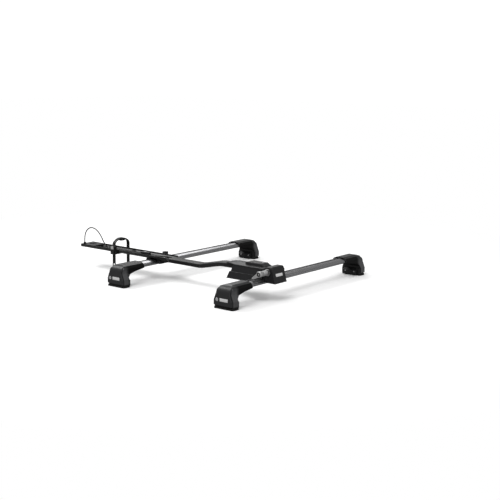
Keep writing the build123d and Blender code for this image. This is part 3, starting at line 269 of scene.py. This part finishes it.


# Finishes: one for each material slot of the record, and two of the scene's own.
# "deep" is the shade in the pattern's hollows. The worn colour is that of rubbed edges, and on finishes
# with their own wide "edge" it is partly a painted highlight. "soft" and "edge" are the widths of an
# edge's rounded look and of its rubbed band, where they aren't the usual ones. The flank colour is a
# painted highlight, and the throat colour is painted shade.

finishes = {
    "bar_alloy": {
        "colour": (0.40, 0.40, 0.41), "deep": (0.32, 0.32, 0.33), "wornAndLit": (0.85, 0.85, 0.86),
        "rough": 0.27, "metal": 1.0, "drawn": (700, 5, 700), "bump": 0.02, "wearAndHighlight": 0.15, "dust": 0.03},
    # black_alloy: its wide edge band in a pale worn colour is a painted highlight along its edges,
    # besides rubbed wear.
    "black_alloy": {
        "colour": (0.010, 0.010, 0.010), "deep": (0.006, 0.006, 0.006), "wornAndLit": (0.12, 0.12, 0.12),
        "rough": 0.30, "metal": 0.0, "grain": 1100, "bump": 0.05, "wearAndHighlight": 0.55, "dust": 0.03,
        "edge": 0.0022},
    "black_casting": {
        "colour": (0.012, 0.012, 0.012), "deep": (0.007, 0.007, 0.007), "wornAndLit": (0.07, 0.07, 0.07),
        "rough": 0.50, "metal": 0.0, "grain": 900, "bump": 0.12, "wearAndHighlight": 0.30, "dust": 0.03},
    # foot_plastic: its flank colour is a painted highlight on the covers' outer sides, and its throat
    # colour is painted shade on the neck sides.
    "foot_plastic": {
        "colour": (0.020, 0.020, 0.021), "deep": (0.014, 0.014, 0.015), "wornAndLit": (0.08, 0.08, 0.08),
        "rough": 0.34, "metal": 0.0, "grain": 1500, "bump": 0.05, "wearAndHighlight": 0.20, "dust": 0.02,
        "soft": 0.0022, "paintedFlankHighlight": (0.062, 0.062, 0.064), "paintedThroatShade": (0.004, 0.004, 0.004)},
    # housing_plastic and cover_plastic: their wide edge bands in a pale worn colour are a painted
    # highlight along the edges, besides rubbed wear.
    "housing_plastic": {
        "colour": (0.013, 0.013, 0.014), "deep": (0.008, 0.008, 0.009), "wornAndLit": (0.13, 0.13, 0.13),
        "rough": 0.42, "metal": 0.0, "grain": 1200, "bump": 0.10, "wearAndHighlight": 0.60, "dust": 0.02,
        "soft": 0.0016, "edge": 0.0030},
    "cover_plastic": {
        "colour": (0.017, 0.017, 0.018), "deep": (0.011, 0.011, 0.012), "wornAndLit": (0.15, 0.15, 0.15),
        "rough": 0.42, "metal": 0.0, "grain": 1300, "bump": 0.07, "wearAndHighlight": 0.60, "dust": 0.02,
        "soft": 0.0016, "edge": 0.0030},
    "knob_plastic": {
        "colour": (0.010, 0.010, 0.011), "deep": (0.006, 0.006, 0.007), "wornAndLit": (0.07, 0.07, 0.07),
        "rough": 0.46, "metal": 0.0, "grain": 1600, "bump": 0.12, "wearAndHighlight": 0.35, "dust": 0.03},
    "strap_plastic": {
        "colour": (0.010, 0.010, 0.010), "deep": (0.006, 0.006, 0.006), "wornAndLit": (0.06, 0.06, 0.06),
        "rough": 0.40, "metal": 0.0, "grain": 1000, "bump": 0.05, "wearAndHighlight": 0.25, "dust": 0.03},
    "lock_body_plastic": {
        "colour": (0.011, 0.011, 0.012), "deep": (0.007, 0.007, 0.008), "wornAndLit": (0.07, 0.07, 0.07),
        "rough": 0.44, "metal": 0.0, "grain": 1200, "bump": 0.08, "wearAndHighlight": 0.30, "dust": 0.03},
    "black_rubber": {
        "colour": (0.009, 0.009, 0.009), "deep": (0.005, 0.005, 0.005), "wornAndLit": (0.04, 0.04, 0.04),
        "rough": 0.72, "metal": 0.0, "grain": 700, "bump": 0.16, "wearAndHighlight": 0.10, "dust": 0.06},
    "strip_rubber": {
        "colour": (0.010, 0.010, 0.010), "deep": (0.006, 0.006, 0.006), "wornAndLit": (0.04, 0.04, 0.04),
        "rough": 0.66, "metal": 0.0, "grain": 700, "bump": 0.35, "wearAndHighlight": 0.10, "dust": 0.08,
        "ribs": 0.0022},
    "foot_rubber": {
        "colour": (0.009, 0.009, 0.009), "deep": (0.005, 0.005, 0.005), "wornAndLit": (0.04, 0.04, 0.04),
        "rough": 0.76, "metal": 0.0, "grain": 600, "bump": 0.18, "wearAndHighlight": 0.10, "dust": 0.06},
    "cable_sheath": {
        "colour": (0.010, 0.010, 0.010), "deep": (0.006, 0.006, 0.006), "wornAndLit": (0.05, 0.05, 0.05),
        "rough": 0.34, "metal": 0.0, "grain": 1800, "bump": 0.02, "wearAndHighlight": 0.0, "dust": 0.02},
    "lock_chrome": {
        "colour": (0.72, 0.72, 0.72), "deep": (0.60, 0.60, 0.61), "wornAndLit": (0.5, 0.5, 0.5),
        "rough": 0.20, "metal": 1.0, "drawn": (2500, 2500, 2500), "bump": 0.005,
        "wearAndHighlight": 0.10, "dust": 0.02},
    "clamp_steel": {
        "colour": (0.022, 0.022, 0.023), "deep": (0.014, 0.014, 0.015), "wornAndLit": (0.18, 0.18, 0.18),
        "rough": 0.42, "metal": 0.3, "grain": 800, "bump": 0.06, "wearAndHighlight": 0.45, "dust": 0.04},
    "zinc_steel": {
        "colour": (0.50, 0.50, 0.50), "deep": (0.38, 0.38, 0.38), "wornAndLit": (0.7, 0.7, 0.7),
        "rough": 0.34, "metal": 1.0, "drawn": (1600, 1600, 60), "bump": 0.01,
        "wearAndHighlight": 0.20, "dust": 0.04},
    "skewer_steel": {
        "colour": (0.62, 0.62, 0.62), "deep": (0.52, 0.52, 0.52), "wornAndLit": (0.8, 0.8, 0.8),
        "rough": 0.26, "metal": 1.0, "drawn": (90, 20, 90), "bump": 0.004, "wearAndHighlight": 0.10, "dust": 0.03},
    "lever_metal": {
        "colour": (0.50, 0.50, 0.50), "deep": (0.42, 0.42, 0.42), "wornAndLit": (0.62, 0.62, 0.62),
        "rough": 0.36, "metal": 0.4, "grain": 900, "bump": 0.05, "wearAndHighlight": 0.30, "dust": 0.02,
        "soft": 0.0014},
    "pale_plate": {
        "colour": (0.66, 0.66, 0.66), "deep": (0.60, 0.60, 0.60), "wornAndLit": (0.45, 0.45, 0.45),
        "rough": 0.42, "metal": 0.0, "grain": 2000, "bump": 0.03, "wearAndHighlight": 0.20, "dust": 0.02},
}


def groupNode(tree, name, values):
    node = tree.nodes.new("ShaderNodeGroup")
    node.node_tree = groups[name]
    for label, value in values.items():
        node.inputs[label].default_value = value
    return node


def mixColour(tree, mask, first, second):
    node = tree.nodes.new("ShaderNodeMix")
    node.data_type = "RGBA"
    tree.links.new(mask, node.inputs["Factor"])
    for socket, value in ((node.inputs[6], first), (node.inputs[7], second)):
        if isinstance(value, bpy.types.NodeSocket):
            tree.links.new(value, socket)
        else:
            socket.default_value = (*value, 1.0)
    return node.outputs[2]


dustColour = (0.34, 0.34, 0.33)
glossSpread = 0.16  # how much the pattern changes the roughness, half of it each way
dustRoughness = 0.5
bumpDepth = 0.001
cover = {
    "flankY": (0.515, 0.495),  # distance from the middle where a flank ends and the neck begins
    "sideways": (0.25, 0.5),
    "flankZ": (0.098, 0.082),  # the painted highlight on the flank fades out between these heights
    "throatSheen": 0.8,  # share of the sheen that the painted shade takes from the neck's sides
}
ribShare = 0.5
ribGrain = 0.2
blackSheen = 0.32  # specular level of every finish, below the shader's own 0.5


# Foot covers: a painted highlight on their outer flanks, and painted shade on the sides of their necks.
def coverPaintedLightMasks(tree):
    texture = tree.nodes.new("ShaderNodeTexCoord")
    place = tree.nodes.new("ShaderNodeSeparateXYZ")
    tree.links.new(texture.outputs["Object"], place.inputs["Vector"])
    facing = tree.nodes.new("ShaderNodeSeparateXYZ")
    tree.links.new(texture.outputs["Normal"], facing.inputs["Vector"])
    inward = spread(tree, mathNode(tree, "ABSOLUTE", place.outputs["Y"]), *cover["flankY"])
    sideways = spread(tree, mathNode(tree, "ABSOLUTE", facing.outputs["X"]), *cover["sideways"])
    low = spread(tree, place.outputs["Z"], *cover["flankZ"])
    paintedFlankHighlight = mathNode(tree, "MULTIPLY", sideways, mathNode(tree, "SUBTRACT", 1.0, inward))
    return mathNode(tree, "MULTIPLY", paintedFlankHighlight, low), mathNode(tree, "MULTIPLY", sideways, inward)


# Long ribs along Y, one every pitch, on top of a finish's own height.
def ribHeight(tree, height, pitch):
    place = tree.nodes.new("ShaderNodeSeparateXYZ")
    tree.links.new(tree.nodes.new("ShaderNodeTexCoord").outputs["Object"], place.inputs["Vector"])
    wave = mathNode(tree, "SINE", mathNode(tree, "MULTIPLY", place.outputs["X"], 2 * math.pi / pitch))
    grain = mathNode(tree, "MULTIPLY", height, ribGrain)
    return mathNode(tree, "MULTIPLY_ADD", wave, ribShare, grain)


def makeFinish(name, finish):
    material = bpy.data.materials.new(name)
    material.use_nodes = True
    tree = material.node_tree
    shader = tree.nodes["Principled BSDF"]
    if "drawn" in finish:
        texture = groupNode(tree, "drawn", {"Stretch": finish["drawn"]})
        gloss = texture.outputs["Shade"]
    else:
        texture = groupNode(tree, "grain", {"Scale": float(finish["grain"])})
        gloss = texture.outputs["Gloss"]
    # Rubbed edges, and with a finish's own wide band, also a painted highlight along the edges.
    wearAndHighlight = {"Amount": finish["wearAndHighlight"], "Radius": finish.get("edge", rubbedEdge)}
    wornAndLit = groupNode(tree, "wearAndHighlight", wearAndHighlight).outputs["Mask"]
    dust = groupNode(tree, "dust", {"Amount": finish["dust"]}).outputs["Mask"]
    shade = mixColour(tree, texture.outputs["Shade"], finish["deep"], finish["colour"])
    # Foot covers: a painted highlight on the outer flanks, and painted shade with less sheen on the
    # sides of the necks.
    if "paintedFlankHighlight" in finish:
        paintedFlankHighlight, paintedThroatShade = coverPaintedLightMasks(tree)
        shade = mixColour(tree, paintedFlankHighlight, shade, finish["paintedFlankHighlight"])
        shade = mixColour(tree, paintedThroatShade, shade, finish["paintedThroatShade"])
        sheen = mathNode(tree, "MULTIPLY_ADD", paintedThroatShade, -cover["throatSheen"] * blackSheen, blackSheen)
        tree.links.new(sheen, shader.inputs["Specular IOR Level"])
    else:
        shader.inputs["Specular IOR Level"].default_value = blackSheen
    shade = mixColour(tree, wornAndLit, shade, finish["wornAndLit"])
    shade = mixColour(tree, dust, shade, dustColour)
    tree.links.new(shade, shader.inputs["Base Color"])
    roughness = mathNode(tree, "MULTIPLY_ADD", gloss, glossSpread, finish["rough"] - glossSpread / 2)
    roughness = mathNode(tree, "MULTIPLY_ADD", dust, dustRoughness, roughness, clamp=True)
    tree.links.new(roughness, shader.inputs["Roughness"])
    shader.inputs["Metallic"].default_value = finish["metal"]
    bevel = tree.nodes.new("ShaderNodeBevel")
    bevel.samples = pattern["bevelSamples"]
    bevel.inputs["Radius"].default_value = finish.get("soft", softEdge)
    bump = tree.nodes.new("ShaderNodeBump")
    bump.inputs["Strength"].default_value = finish["bump"]
    bump.inputs["Distance"].default_value = bumpDepth
    height = texture.outputs["Height"]
    if "ribs" in finish:
        height = ribHeight(tree, height, finish["ribs"])
    tree.links.new(height, bump.inputs["Height"])
    tree.links.new(bevel.outputs["Normal"], bump.inputs["Normal"])
    tree.links.new(bump.outputs["Normal"], shader.inputs["Normal"])
    return material


materials = {name: makeFinish(name, finish) for name, finish in finishes.items()}
for part in frame["record"]["subparts"]:
    for place in nodes[part["node"]].material_slots:
        place.material = materials[part["material_slot"]]
for end in ("front", "rear"):
    nodes[end + "_bar_strip"].material_slots[0].material = materials["strip_rubber"]
print("finishes made:", len(materials))


# Lock cable: first stretch out of the gland, and the loop beyond the lock.
# The route points are those of the CAD.

cable = {
    "diameter": 0.0055,
    "tailX": -0.6675,
    "middleY": -0.245,
    "reachLength": 0.523,
    "loopLength": 0.308,
    "order": 3,
    "steps": 12,
    "sides": 5,
    "reach": [
        (0.012, -0.028, 0.133), (0.012, -0.028, 0.166), (0.029, -0.030, 0.200),
        (0.064, -0.031, 0.222), (0.106, -0.0305, 0.215), (0.139, -0.029, 0.186),
        (0.161, -0.028, 0.149), (0.191, -0.0275, 0.121), (0.232, -0.028, 0.1142),
        (0.284, -0.030, 0.1144), (0.336, -0.029, 0.115), (0.372, -0.023, 0.118),
        (0.404, -0.014, 0.121), (0.434, -0.014, 0.121)],
    "loop": [
        (0.486, -0.007, 0.115), (0.513, -0.007, 0.115), (0.537, 0.005, 0.1146),
        (0.559, 0.021, 0.1144), (0.5826, 0.030, 0.1143), (0.6074, 0.0302, 0.1143),
        (0.625, 0.0124, 0.1143), (0.6252, -0.0124, 0.1143), (0.6074, -0.030, 0.1143),
        (0.5826, -0.0304, 0.1143), (0.556, -0.028, 0.1145), (0.530, -0.021, 0.115),
        (0.501, -0.021, 0.115)],
}


def cablePoint(point):
    x, y, z = point
    return (cable["tailX"] + x, cable["middleY"] + y, z)


def makeCable(name, node, route):
    curve = bpy.data.curves.new(name, "CURVE")
    curve.dimensions = "3D"
    spline = curve.splines.new("NURBS")
    spline.points.add(len(route) - 1)
    for point, place in zip(spline.points, route):
        point.co = (*cablePoint(place), 1.0)
    spline.order_u = cable["order"]
    spline.use_endpoint_u = True
    curve.resolution_u = cable["steps"]
    curve.bevel_depth = cable["diameter"] / 2
    curve.bevel_resolution = cable["sides"]
    curve.use_fill_caps = True
    obj = bpy.data.objects.new(name, curve)
    bpy.context.scene.collection.objects.link(obj)
    curve.materials.append(materials["cable_sheath"])
    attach(obj, "carrier")
    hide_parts(node)


makeCable("lockCableReach", "lock_cable_reach", cable["reach"])
makeCable("lockCableLoop", "lock_cable_loop", cable["loop"])
print("cable laid")


# Wheel strap with moulded teeth, run round the rim

strap = {
    "x": -0.4025,
    "middleY": -0.245,
    "half": 0.052,
    "shoulderZ": 0.161,
    "crownHalf": 0.024,
    "crownZ": 0.179,
    "nearEndZ": 0.030,
    "farEndZ": 0.038,
    "cornerRadius": 0.020,
    "width": 0.022,
    "thickness": 0.0026,
    "toothPitch": 0.0055,
    "toothHeight": 0.0011,
    "toothLength": 0.0024,
    "toothWidth": 0.0150,
    "eyeletRadius": 0.0055,
    "eyeletLength": 0.018,
    "ringLength": 0.024,
    "ringPoints": 32,
    "barSize": (0.030, 0.0052, 0.0060),
    "barCorner": 0.001,
    "bendSteps": 6,
    "edgeShare": 0.2,
    "teethTopZ": 0.094,
    "toothSink": 0.0001,
}


# Corners of the strap's middle line in Y and Z, from its far end round to its near end.
def strapLine():
    half, crown = strap["half"], strap["crownHalf"]
    nearEnd = strap["nearEndZ"] + strap["ringLength"]
    return [(half, strap["farEndZ"]), (half, strap["shoulderZ"]), (crown, strap["crownZ"]),
            (-crown, strap["crownZ"]), (-half, strap["shoulderZ"]), (-half, nearEnd)]


def makeStrap():
    corners = [Vector((0, strap["middleY"] + y, z)) for y, z in strapLine()]
    half = strap["width"] / 2
    bm = bmesh.new()
    ends = [bm.verts.new((strap["x"] + side * half, corners[0].y, corners[0].z)) for side in (-1, 1)]
    edges = [bm.edges.new(ends)]
    here = corners[0]
    for before, corner, after in zip(corners, corners[1:], corners[2:]):
        first = (corner - before).normalized()
        second = (after - corner).normalized()
        angle = first.angle(second)
        reach = strap["cornerRadius"] * math.tan(angle / 2)
        made = bmesh.ops.extrude_edge_only(bm, edges=edges)["geom"]
        edges = pushOut(bm, made, corner - first * reach - here)
        side = Vector((1, 0, 0)) if first.cross(second).x > 0 else Vector((-1, 0, 0))
        centre = corner - first * reach + side.cross(first) * strap["cornerRadius"]
        spun = bmesh.ops.spin(bm, geom=edges, cent=(strap["x"], centre.y, centre.z), axis=side,
                              angle=angle, steps=strap["bendSteps"], use_merge=False)
        edges = [e for e in spun["geom_last"] if isinstance(e, bmesh.types.BMEdge)]
        here = corner + second * reach
    pushOut(bm, bmesh.ops.extrude_edge_only(bm, edges=edges)["geom"], corners[-1] - here)
    bmesh.ops.remove_doubles(bm, verts=bm.verts, dist=1e-6)
    obj = fresh("wheelStrap", bm, materials["strap_plastic"], "strap")
    solid = obj.modifiers.new("thickness", "SOLIDIFY")
    solid.thickness = strap["thickness"]
    solid.offset = 0
    edge = obj.modifiers.new("softEdges", "BEVEL")
    edge.width = strap["thickness"] * strap["edgeShare"]
    edge.segments = 2
    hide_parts("wheel_strap")


# Ring at the near end: a stadium hole bridged to a rounded outline, in X and Z.
def makeEyelet():
    y = strap["middleY"] - strap["half"]
    low = strap["nearEndZ"]
    half, length = strap["width"] / 2, strap["ringLength"]
    hole = strap["eyeletRadius"]
    run = strap["eyeletLength"] / 2 - hole
    holeZ = low + strap["thickness"] + strap["eyeletLength"] / 2
    bm = bmesh.new()
    loops = ([], [])
    for step in range(strap["ringPoints"]):
        angle = 2 * math.pi * (step + 0.5) / strap["ringPoints"]
        x, z = math.cos(angle), math.sin(angle)
        inner = (hole * x, holeZ + math.copysign(run, z) + hole * z)
        stretch = 1 / max(abs(x), abs(z))
        outer = (half * x * stretch, low + length / 2 + length / 2 * z * stretch)
        for loop, place in zip(loops, (inner, outer)):
            corner = (strap["x"] + place[0], y - strap["thickness"] / 2, place[1])
            loop.append(bm.verts.new(corner))
    edges = [bm.edges.new((loop[i - 1], loop[i])) for loop in loops for i in range(len(loop))]
    ring = bmesh.ops.bridge_loops(bm, edges=edges)["faces"]
    pushOut(bm, bmesh.ops.extrude_face_region(bm, geom=ring)["geom"], (0, strap["thickness"], 0))
    fresh("strapEyelet", bm, materials["strap_plastic"], "strap")


def makeStrapTrim():
    y, half = strap["middleY"], strap["half"]
    place = (strap["x"], y + half, strap["farEndZ"] - strap["barSize"][2] / 2)
    bm = roundedBox(strap["barSize"], place, strap["barCorner"])
    fresh("strapEndBar", bm, materials["strap_plastic"], "strap")
    out = strap["thickness"] / 2 + strap["toothHeight"] / 2 - strap["toothSink"]
    size = (strap["toothWidth"], strap["toothHeight"], strap["toothLength"])
    bm = bmesh.new()
    for side, low in ((-1, strap["nearEndZ"] + strap["ringLength"]), (1, strap["farEndZ"])):
        z = low + strap["toothPitch"]
        while z < strap["teethTopZ"]:
            made = bmesh.ops.create_cube(bm, size=1.0)["verts"]
            bmesh.ops.scale(bm, vec=size, verts=made)
            bmesh.ops.translate(bm, vec=(strap["x"], y + side * (half + out), z), verts=made)
            z += strap["toothPitch"]
    fresh("strapTeeth", bm, materials["strap_plastic"], "strap")


makeStrap()
makeEyelet()
makeStrapTrim()
print("strap made")


# Bare pale plates on the foot covers and on the head

plate = {
    "size": (0.048, 0.0011, 0.0150),
    "corner": 0.0005,
    "sideways": 0.0045,
    "z": 0.043,
    "proud": 0.0003,
    "headSize": (0.0011, 0.0508, 0.0138),
    "headPlace": (0.65605, -0.245, 0.126),
    "headLean": -16.63,  # degrees, as the head's front leans
}


def makePlates():
    for foot in feet:
        low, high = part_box(foot + "_foot_cover")
        side = -1 if foot.endswith("near") else 1
        faceY = low.y if side < 0 else high.y
        middleX = (low.x + high.x) / 2
        place = (middleX - side * plate["sideways"], faceY + side * plate["proud"], plate["z"])
        bm = roundedBox(plate["size"], place, plate["corner"])
        fresh(foot + "_plate", bm, materials["pale_plate"], foot + "_cover")
    turn = Matrix.Rotation(math.radians(plate["headLean"]), 4, "Y")
    bm = roundedBox(plate["headSize"], plate["headPlace"], plate["corner"], turn=turn)
    fresh("head_plate", bm, materials["pale_plate"], "carrier")


makePlates()
print("plates made")


# Small trim: dark seal round the lever's lock, paler grip of the buckle, ribs of the rim pad

trim = {
    "sealInner": 0.0050,
    "sealOuter": 0.0105,
    "sealThickness": 0.0008,
    "sealLift": 0.0002,
    "sealPoints": 48,
    "gripSize": (0.020, 0.0024, 0.016),
    "gripDrop": 0.012,
    "gripCorner": 0.001,
    "ribs": 6,
    "ribSize": (0.024, 0.0018, 0.0016),
    "ribInset": 0.004,
    "ribEdgeShare": 0.3,
}


# Flat ring facing -Y, with a hole, from two circles that are bridged.
def flatRing(inner, outer, thickness, place):
    bm = bmesh.new()
    turn = Matrix.Translation(place) @ Matrix.Rotation(math.radians(90), 4, "X")
    for radius in (inner, outer):
        bmesh.ops.create_circle(bm, cap_ends=False, segments=trim["sealPoints"],
                                radius=radius, matrix=turn)
    ring = bmesh.ops.bridge_loops(bm, edges=bm.edges[:])["faces"]
    pushOut(bm, bmesh.ops.extrude_face_region(bm, geom=ring)["geom"], (0, -thickness, 0))
    return bm


def makeTrim():
    low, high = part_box("cam_lever_lock")
    centre = (low + high) / 2
    place = (centre.x, low.y - trim["sealLift"], centre.z)
    bm = flatRing(trim["sealInner"], trim["sealOuter"], trim["sealThickness"], place)
    fresh("leverSeal", bm, materials["knob_plastic"], "lever")
    low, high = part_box("buckle_latch")
    place = ((low.x + high.x) / 2, low.y, high.z - trim["gripDrop"])
    bm = roundedBox(trim["gripSize"], place, trim["gripCorner"])
    fresh("buckleGrip", bm, materials["lever_metal"], "latch")
    low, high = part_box("rim_pad")
    bm = bmesh.new()
    first, last = low.y + trim["ribInset"], high.y - trim["ribInset"]
    for step in range(trim["ribs"]):
        made = bmesh.ops.create_cube(bm, size=1.0)["verts"]
        bmesh.ops.scale(bm, vec=trim["ribSize"], verts=made)
        y = first + (last - first) * step / (trim["ribs"] - 1)
        bmesh.ops.translate(bm, vec=((low.x + high.x) / 2, y, high.z), verts=made)
    bmesh.ops.bevel(bm, geom=bm.edges[:], offset=trim["ribSize"][2] * trim["ribEdgeShare"], segments=2,
                    profile=0.5, affect="EDGES", material=-1)
    fresh("rimPadRibs", bm, materials["black_rubber"], "strap")


makeTrim()
print("trim made")


# Floor, backdrop and lights

stage = {
    "floorSize": 40.0,
    "floorColour": (0.30, 0.30, 0.30),  # what the object sees
    "floorSeen": (0.97, 0.97, 0.97),  # what the camera sees
    "fadeStart": 1.1,  # metres from the middle where the floor starts to turn plain white
    "fadeEnd": 2.4,
    "worldStrength": 0.60,
    "worldMirrored": 0.34,  # what glossy surfaces see of it
    "worldSeen": 1.06,  # what the camera sees of it
    "floorRoughness": 0.95,
}
lamps = {
    "keyLight": {"place": (0.6, -2.2, 3.4), "size": 2.2, "power": 72},
    "fillLight": {"place": (3.6, 0.8, 2.4), "size": 2.6, "power": 30},
    "rimLight": {"place": (-2.4, 2.4, 2.8), "size": 2.2, "power": 40},
    "bendLight": {"place": (-2.3, -0.9, 2.8), "size": 1.2, "power": 44},
}


def makeFloorMaterial():
    material = bpy.data.materials.new("paleFloor")
    material.use_nodes = True
    tree = material.node_tree
    shader = tree.nodes["Principled BSDF"]
    shader.inputs["Roughness"].default_value = stage["floorRoughness"]
    path = tree.nodes.new("ShaderNodeLightPath")
    colour = mixColour(tree, path.outputs["Is Camera Ray"], stage["floorColour"], stage["floorSeen"])
    tree.links.new(colour, shader.inputs["Base Color"])
    place = tree.nodes.new("ShaderNodeTexCoord").outputs["Object"]
    away = tree.nodes.new("ShaderNodeVectorMath")
    away.operation = "LENGTH"
    tree.links.new(place, away.inputs[0])
    far = spread(tree, away.outputs["Value"], stage["fadeStart"], stage["fadeEnd"])
    plain = tree.nodes.new("ShaderNodeEmission")
    mix = tree.nodes.new("ShaderNodeMixShader")
    tree.links.new(mathNode(tree, "MULTIPLY", far, path.outputs["Is Camera Ray"]), mix.inputs["Fac"])
    tree.links.new(shader.outputs["BSDF"], mix.inputs[1])
    tree.links.new(plain.outputs["Emission"], mix.inputs[2])
    tree.links.new(mix.outputs["Shader"], tree.nodes["Material Output"].inputs["Surface"])
    return material


def makeWorld():
    world = bpy.data.worlds.new("studio")
    bpy.context.scene.world = world
    world.use_nodes = True
    tree = world.node_tree
    background = tree.nodes["Background"]
    background.inputs["Color"].default_value = (1, 1, 1, 1)
    path = tree.nodes.new("ShaderNodeLightPath")
    dull = stage["worldStrength"]
    strength = mathNode(tree, "MULTIPLY_ADD", path.outputs["Is Glossy Ray"],
                        stage["worldMirrored"] - dull, dull)
    strength = mathNode(tree, "MULTIPLY_ADD", path.outputs["Is Camera Ray"],
                        stage["worldSeen"] - dull, strength)
    tree.links.new(strength, background.inputs["Strength"])


def makeStage():
    bm = bmesh.new()
    bmesh.ops.create_grid(bm, x_segments=1, y_segments=1, size=stage["floorSize"] / 2)
    mesh = bpy.data.meshes.new("floor")
    bm.to_mesh(mesh)
    bm.free()
    floor = bpy.data.objects.new("floor", mesh)
    bpy.context.scene.collection.objects.link(floor)
    mesh.materials.append(makeFloorMaterial())
    makeWorld()
    middle = (cadBox[0] + cadBox[1]) / 2
    for name, lamp in lamps.items():
        data = bpy.data.lights.new(name, "AREA")
        data.size = lamp["size"]
        data.energy = lamp["power"]
        obj = bpy.data.objects.new(name, data)
        bpy.context.scene.collection.objects.link(obj)
        obj.location = lamp["place"]
        obj.rotation_euler = (middle - Vector(lamp["place"])).to_track_quat("-Z", "Y").to_euler()


makeStage()
bpy.context.scene.view_settings.view_transform = "Standard"
print("stage lit")
